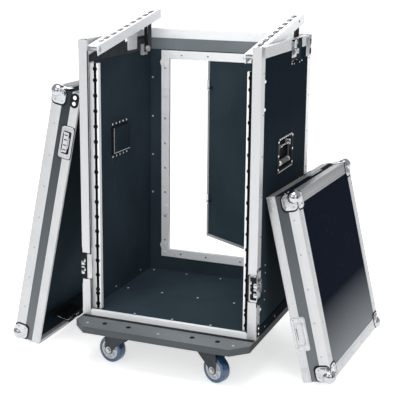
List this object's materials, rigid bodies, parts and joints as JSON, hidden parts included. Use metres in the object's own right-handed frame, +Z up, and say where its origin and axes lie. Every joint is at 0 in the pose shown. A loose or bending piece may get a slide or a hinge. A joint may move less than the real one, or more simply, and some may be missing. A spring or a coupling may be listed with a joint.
{
  "type": "equipment rack case",
  "caption": "Tall flight case for 19-inch equipment on swivel castors: front rack rails, tilting top rails, rear door, sprung handles, butterfly latches and lift-off front and top covers.",
  "frame": {"origin": "on the floor, under the middle of the whole set's bounding box", "axes": "+X to the case's right seen from its front, +Y from the front to the rear, +Z up"},
  "size_m": [1.039, 0.783, 1.002],
  "materials": {
    "black_laminate": "black textured laminate on plywood",
    "aluminium": "natural anodised extrusion",
    "chrome": "bright plated steel",
    "zinc": "zinc plated pressed steel",
    "black_steel": "black powder coat",
    "grip_rubber": "ribbed black rubber",
    "blue_wheel": "blue elastic tyre",
    "board": "dark coated plywood board"
  },
  "bodies": {
    "case": {"side_panel_right": "black_laminate", "front_post_right": "aluminium", "top_profile_right": "aluminium", "rack_rail_right": "aluminium", "side_panel_left": "black_laminate", "front_post_left": "aluminium", "top_profile_left": "aluminium", "rack_rail_left": "aluminium", "base_panel": "black_laminate", "rear_panel": "black_laminate", "front_sill": "aluminium", "rear_profiles": "aluminium", "bottom_profiles": "aluminium", "door_frame": "aluminium", "case_corners": "chrome", "case_rivets": "chrome", "rack_nuts": "black_steel", "case_latch_dishes": "chrome", "handle_dishes": "black_steel", "handle_springs": "black_steel", "mixer_brackets": "black_steel", "wheel_board": "board", "castor_plates": "zinc", "castor_bolts": "zinc", "rear_hinge_leaf_fixed": "aluminium"},
    "handle_left": {"handle_grip_left": "grip_rubber"},
    "handle_right": {"handle_grip_right": "grip_rubber"},
    "latch_low_left": {"latch_wing_low_left": "chrome"},
    "latch_top_left": {"latch_wing_top_left": "chrome"},
    "latch_low_right": {"latch_wing_low_right": "chrome"},
    "latch_top_right": {"latch_wing_top_right": "chrome"},
    "rear_door": {"rear_door_panel": "black_laminate", "rear_door_edge": "aluminium", "rear_hinge_leaf_door": "aluminium"},
    "door_latch_lower": {"rear_door_latch_lower": "chrome"},
    "door_latch_upper": {"rear_door_latch_upper": "chrome"},
    "mixer_rail_left": {"mixer_rail_left": "aluminium"},
    "mixer_strut_left": {"mixer_strut_left": "black_steel"},
    "mixer_rail_right": {"mixer_rail_right": "aluminium"},
    "mixer_strut_right": {"mixer_strut_right": "black_steel"},
    "castor_front_left": {"castor_fork_front_left": "zinc"},
    "wheel_front_left": {"castor_wheel_front_left": "blue_wheel"},
    "brake_front_left": {"castor_brake_front_left": "zinc"},
    "castor_front_right": {"castor_fork_front_right": "zinc"},
    "wheel_front_right": {"castor_wheel_front_right": "blue_wheel"},
    "brake_front_right": {"castor_brake_front_right": "zinc"},
    "castor_rear_left": {"castor_fork_rear_left": "zinc"},
    "wheel_rear_left": {"castor_wheel_rear_left": "blue_wheel"},
    "castor_rear_right": {"castor_fork_rear_right": "zinc"},
    "wheel_rear_right": {"castor_wheel_rear_right": "blue_wheel"},
    "front_cover": {"front_cover_shell": "black_laminate", "front_cover_profiles": "aluminium", "front_cover_corners": "chrome", "front_cover_catches": "chrome"},
    "top_cover": {"top_cover_shell": "black_laminate", "top_cover_profiles": "aluminium", "top_cover_corners": "chrome", "top_cover_catches": "chrome"},
    "front_cover_latch": {"front_cover_latch_wing": "chrome"}
  },
  "joints": [
    {"name": "handle_swing_left", "type": "hinge", "parent": "case", "child": "handle_left", "pos_m": [-0.25757, -0.06652, 0.642], "axis": [0, 1, 0], "range_deg": [0, 90], "stiffness_Nm_per_rad": 0.4, "springref_deg": -28.65},
    {"name": "handle_swing_right", "type": "hinge", "parent": "case", "child": "handle_right", "pos_m": [0.27043, -0.06652, 0.642], "axis": [0, -1, 0], "range_deg": [0, 90], "stiffness_Nm_per_rad": 0.4, "springref_deg": -28.65},
    {"name": "latch_turn_low_left", "type": "hinge", "parent": "case", "child": "latch_low_left", "pos_m": [-0.26257, -0.26402, 0.279], "axis": [-1, 0, 0], "range_deg": [0, 180]},
    {"name": "latch_turn_top_left", "type": "hinge", "parent": "case", "child": "latch_top_left", "pos_m": [-0.26257, 0.02048, 0.9025], "axis": [-1, 0, 0], "range_deg": [0, 180]},
    {"name": "latch_turn_low_right", "type": "hinge", "parent": "case", "child": "latch_low_right", "pos_m": [0.27543, -0.26402, 0.279], "axis": [1, 0, 0], "range_deg": [0, 180]},
    {"name": "latch_turn_top_right", "type": "hinge", "parent": "case", "child": "latch_top_right", "pos_m": [0.27543, 0.02048, 0.9025], "axis": [1, 0, 0], "range_deg": [0, 180]},
    {"name": "rear_door_swing", "type": "hinge", "parent": "case", "child": "rear_door", "pos_m": [0.20943, 0.17498, 0.527], "axis": [0, 0, -1], "range_deg": [-31, 104]},
    {"name": "door_latch_turn_lower", "type": "hinge", "parent": "rear_door", "child": "door_latch_lower", "pos_m": [-0.11458, 0.36966, 0.335], "axis": [-0.515, -0.8572, 0], "range_deg": [0, 90]},
    {"name": "door_latch_turn_upper", "type": "hinge", "parent": "rear_door", "child": "door_latch_upper", "pos_m": [-0.11458, 0.36966, 0.729], "axis": [-0.515, -0.8572, 0], "range_deg": [0, 90]},
    {"name": "mixer_rail_tilt_left", "type": "hinge", "parent": "case", "child": "mixer_rail_left", "pos_m": [-0.22857, -0.28052, 0.913], "axis": [1, 0, 0], "range_deg": [-10.4, 0]},
    {"name": "mixer_strut_turn_left", "type": "hinge", "parent": "mixer_rail_left", "child": "mixer_strut_left", "pos_m": [-0.24137, 0.09815, 0.9825], "axis": [1, 0, 0], "range_deg": [0, 4.16]},
    {"name": "mixer_rail_tilt_right", "type": "hinge", "parent": "case", "child": "mixer_rail_right", "pos_m": [0.24143, -0.28052, 0.913], "axis": [1, 0, 0], "range_deg": [-10.4, 0]},
    {"name": "mixer_strut_turn_right", "type": "hinge", "parent": "mixer_rail_right", "child": "mixer_strut_right", "pos_m": [0.25423, 0.09815, 0.9825], "axis": [1, 0, 0], "range_deg": [0, 4.16]},
    {"name": "castor_swivel_front_left", "type": "hinge", "parent": "case", "child": "castor_front_left", "pos_m": [-0.13057, -0.31852, 0.094], "axis": [0, 0, 1], "continuous": true},
    {"name": "wheel_spin_front_left", "type": "hinge", "parent": "castor_front_left", "child": "wheel_front_left", "pos_m": [-0.16187, -0.31187, 0.04], "axis": [-0.2079, -0.9781, 0], "continuous": true},
    {"name": "brake_press_front_left", "type": "hinge", "parent": "castor_front_left", "child": "brake_front_left", "pos_m": [-0.16011, -0.31224, 0.093], "axis": [-0.2079, -0.9781, 0], "range_deg": [0, 9]},
    {"name": "castor_swivel_front_right", "type": "hinge", "parent": "case", "child": "castor_front_right", "pos_m": [0.14343, -0.31852, 0.094], "axis": [0, 0, 1], "continuous": true},
    {"name": "wheel_spin_front_right", "type": "hinge", "parent": "castor_front_right", "child": "wheel_front_right", "pos_m": [0.1731, -0.33051, 0.04], "axis": [0.3746, 0.9272, 0], "continuous": true},
    {"name": "brake_press_front_right", "type": "hinge", "parent": "castor_front_right", "child": "brake_front_right", "pos_m": [0.17143, -0.32983, 0.093], "axis": [0.3746, 0.9272, 0], "range_deg": [0, 9]},
    {"name": "castor_swivel_rear_left", "type": "hinge", "parent": "case", "child": "castor_rear_left", "pos_m": [-0.13057, 0.09848, 0.094], "axis": [0, 0, 1], "continuous": true},
    {"name": "wheel_spin_rear_left", "type": "hinge", "parent": "castor_rear_left", "child": "wheel_rear_left", "pos_m": [-0.14657, 0.12619, 0.04], "axis": [-0.866, -0.5, 0], "continuous": true},
    {"name": "castor_swivel_rear_right", "type": "hinge", "parent": "case", "child": "castor_rear_right", "pos_m": [0.14343, 0.09848, 0.094], "axis": [0, 0, 1], "continuous": true},
    {"name": "wheel_spin_rear_right", "type": "hinge", "parent": "castor_rear_right", "child": "wheel_rear_right", "pos_m": [0.15171, 0.12939, 0.04], "axis": [-0.9659, 0.2588, 0], "continuous": true},
    {"name": "front_cover_away", "type": "slide", "parent": "case", "child": "front_cover", "axis": [-1, 0, 0], "range_m": [0, 0.4]},
    {"name": "top_cover_away", "type": "slide", "parent": "case", "child": "top_cover", "axis": [1, 0, 0], "range_m": [0, 0.4]},
    {"name": "latch_turn_cover", "type": "hinge", "parent": "front_cover", "child": "front_cover_latch", "pos_m": [-0.4554, -0.05352, 0.0089], "axis": [-0.2011, 0, -0.9796], "range_deg": [0, 180]}
  ],
  "couplings": [
    {"joint": "mixer_strut_turn_left", "follows": "mixer_rail_tilt_left", "ratio": -0.4},
    {"joint": "mixer_strut_turn_right", "follows": "mixer_rail_tilt_right", "ratio": -0.4}
  ]
}
